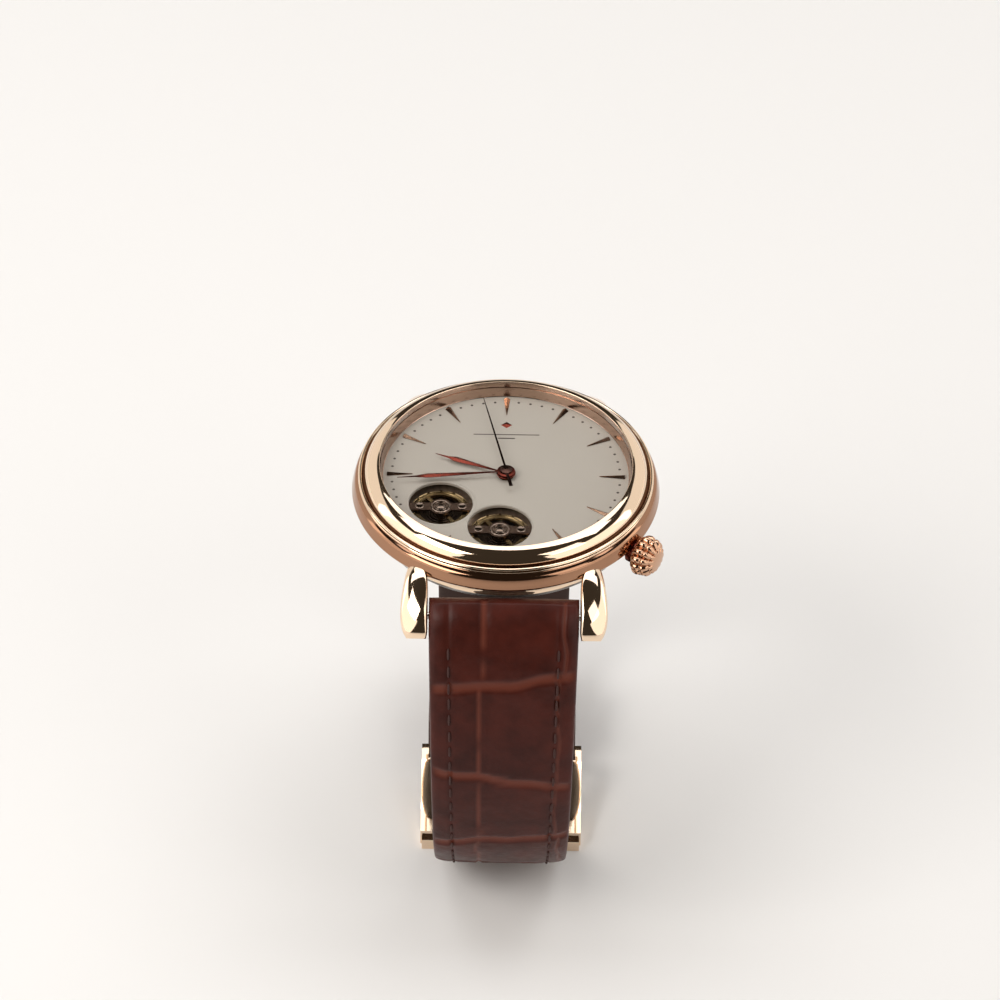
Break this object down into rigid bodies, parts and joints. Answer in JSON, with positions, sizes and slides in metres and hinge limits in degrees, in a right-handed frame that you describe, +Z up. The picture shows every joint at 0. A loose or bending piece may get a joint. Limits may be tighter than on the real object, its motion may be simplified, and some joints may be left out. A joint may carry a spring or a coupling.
{
  "type": "wristwatch",
  "caption": "Three-hand dress wristwatch with open balance apertures, polished rose-gold case and a closed leather strap that it stands on.",
  "frame": {"origin": "under the middle of the dial, on the surface that the closed strap loop stands on", "axes": "+Z up through the dial, +Y towards 12 o'clock, +X towards 3 o'clock"},
  "size_m": [0.0406, 0.0582, 0.0584],
  "materials": {
    "rose_gold_case": "polished rose-gold plating",
    "hand_metal": "polished dark rose plating",
    "marker_metal": "polished bronze plating",
    "dial_lacquer": "satin ivory lacquer on brass",
    "crystal_glass": "clear domed crystal",
    "steel": "fine satin steel",
    "gilt_brass": "gilt movement plate",
    "ruby": "synthetic ruby bearing",
    "gasket_rubber": "black sealing rubber",
    "strap_leather": "glossy square-scale leather"
  },
  "bodies": {
    "case": {"mid_case": "rose_gold_case", "bezel": "rose_gold_case", "rehaut_ring": "rose_gold_case", "crystal": "crystal_glass", "case_back": "steel", "bezel_gasket": "gasket_rubber", "back_gasket": "gasket_rubber", "movement_ring": "steel", "dial": "dial_lacquer", "main_plate": "gilt_brass", "train_bridge": "gilt_brass", "rotor_bearing": "steel", "crown_tube": "steel", "strap_front": "strap_leather", "strap_back": "strap_leather", "spring_bar_front": "steel", "spring_bar_back": "steel", "fixed_keeper": "strap_leather", "buckle_bar": "steel", "marker_01": "marker_metal", "marker_02": "marker_metal", "marker_03": "marker_metal", "marker_04": "marker_metal", "marker_05": "marker_metal", "marker_07": "marker_metal", "marker_09": "marker_metal", "marker_10": "marker_metal", "marker_11": "marker_metal", "marker_12": "marker_metal", "balance_bridge_lower": "steel", "jewel_lower": "ruby", "balance_bridge_left": "steel", "jewel_left": "ruby"},
    "seconds": {"seconds_wheel": "gilt_brass", "seconds_hand": "hand_metal"},
    "minutes": {"centre_wheel": "gilt_brass", "cannon_pinion": "steel", "minute_hand": "hand_metal"},
    "hours": {"hour_wheel": "gilt_brass", "hour_hand": "hand_metal"},
    "third": {"third_wheel": "gilt_brass"},
    "motion_works": {"minute_wheel": "gilt_brass"},
    "barrel": {"mainspring_barrel": "gilt_brass"},
    "escape": {"escape_wheel": "steel"},
    "pallet": {"pallet_fork": "steel"},
    "balance_lower": {"balance_wheel_lower": "gilt_brass", "hairspring_lower": "steel"},
    "balance_left": {"balance_wheel_left": "gilt_brass", "hairspring_left": "steel"},
    "rotor": {"rotor": "steel"},
    "setting": {"setting_lever": "steel"},
    "crown": {"crown": "rose_gold_case", "winding_stem": "steel", "winding_pinion": "steel"},
    "buckle": {"buckle_frame": "rose_gold_case"},
    "tongue": {"buckle_tongue": "rose_gold_case"},
    "keeper": {"free_keeper": "strap_leather"}
  },
  "joints": [
    {"name": "seconds_turn", "type": "hinge", "parent": "case", "child": "seconds", "pos_m": [0, 0, 0.056], "axis": [0, 0, 1], "continuous": true},
    {"name": "minutes_turn", "type": "hinge", "parent": "case", "child": "minutes", "pos_m": [0, 0, 0.056], "axis": [0, 0, 1], "continuous": true},
    {"name": "hours_turn", "type": "hinge", "parent": "case", "child": "hours", "pos_m": [0, 0, 0.056], "axis": [0, 0, 1], "continuous": true},
    {"name": "third_turn", "type": "hinge", "parent": "case", "child": "third", "pos_m": [0.0023, 0.00398, 0.05215], "axis": [0, 0, 1], "continuous": true},
    {"name": "motion_works_turn", "type": "hinge", "parent": "case", "child": "motion_works", "pos_m": [0.00301, -0.00109, 0.0548], "axis": [0, 0, 1], "continuous": true},
    {"name": "barrel_turn", "type": "hinge", "parent": "case", "child": "barrel", "pos_m": [-0.00572, 0.0033, 0.0532], "axis": [0, 0, 1], "continuous": true},
    {"name": "escape_turn", "type": "hinge", "parent": "case", "child": "escape", "pos_m": [-0.00031, -0.00439, 0.05215], "axis": [0, 0, 1], "continuous": true},
    {"name": "pallet_rock", "type": "hinge", "parent": "case", "child": "pallet", "pos_m": [-0.00051, -0.00728, 0.05215], "axis": [0, 0, 1], "range_deg": [-5, 5]},
    {"name": "balance_lower_swing", "type": "hinge", "parent": "case", "child": "balance_lower", "pos_m": [-0.0007, -0.01008, 0.0547], "axis": [0, 0, 1], "range_deg": [-270, 270], "stiffness_Nm_per_rad": 0.0000003},
    {"name": "balance_left_swing", "type": "hinge", "parent": "case", "child": "balance_left", "pos_m": [-0.00837, -0.00565, 0.0547], "axis": [0, 0, 1], "range_deg": [-270, 270], "stiffness_Nm_per_rad": 0.0000003},
    {"name": "rotor_turn", "type": "hinge", "parent": "case", "child": "rotor", "pos_m": [0, 0, 0.0507], "axis": [0, 0, 1], "continuous": true},
    {"name": "crown_pull", "type": "slide", "parent": "case", "child": "setting", "axis": [0.848, -0.5299, 0], "range_m": [0, 0.001]},
    {"name": "crown_turn", "type": "hinge", "parent": "setting", "child": "crown", "pos_m": [0.01722, -0.01076, 0.0524], "axis": [0.848, -0.5299, 0], "continuous": true},
    {"name": "buckle_fold", "type": "hinge", "parent": "case", "child": "buckle", "pos_m": [0, 0.002, 0.00455], "axis": [1, 0, 0], "range_deg": [0, 6]},
    {"name": "tongue_lift", "type": "hinge", "parent": "buckle", "child": "tongue", "pos_m": [0, 0.002, 0.00455], "axis": [1, 0, 0], "range_deg": [0, 20]},
    {"name": "keeper_slide", "type": "slide", "parent": "case", "child": "keeper", "axis": [0, 1, 0], "range_m": [-0.0012, 0.002]}
  ],
  "couplings": [
    {"joint": "minutes_turn", "follows": "seconds_turn", "ratio": 0.016667},
    {"joint": "hours_turn", "follows": "seconds_turn", "ratio": 0.0013889},
    {"joint": "third_turn", "follows": "seconds_turn", "ratio": -0.13333},
    {"joint": "motion_works_turn", "follows": "seconds_turn", "ratio": -0.0055556},
    {"joint": "barrel_turn", "follows": "seconds_turn", "ratio": -0.0027778},
    {"joint": "escape_turn", "follows": "seconds_turn", "ratio": -8}
  ]
}
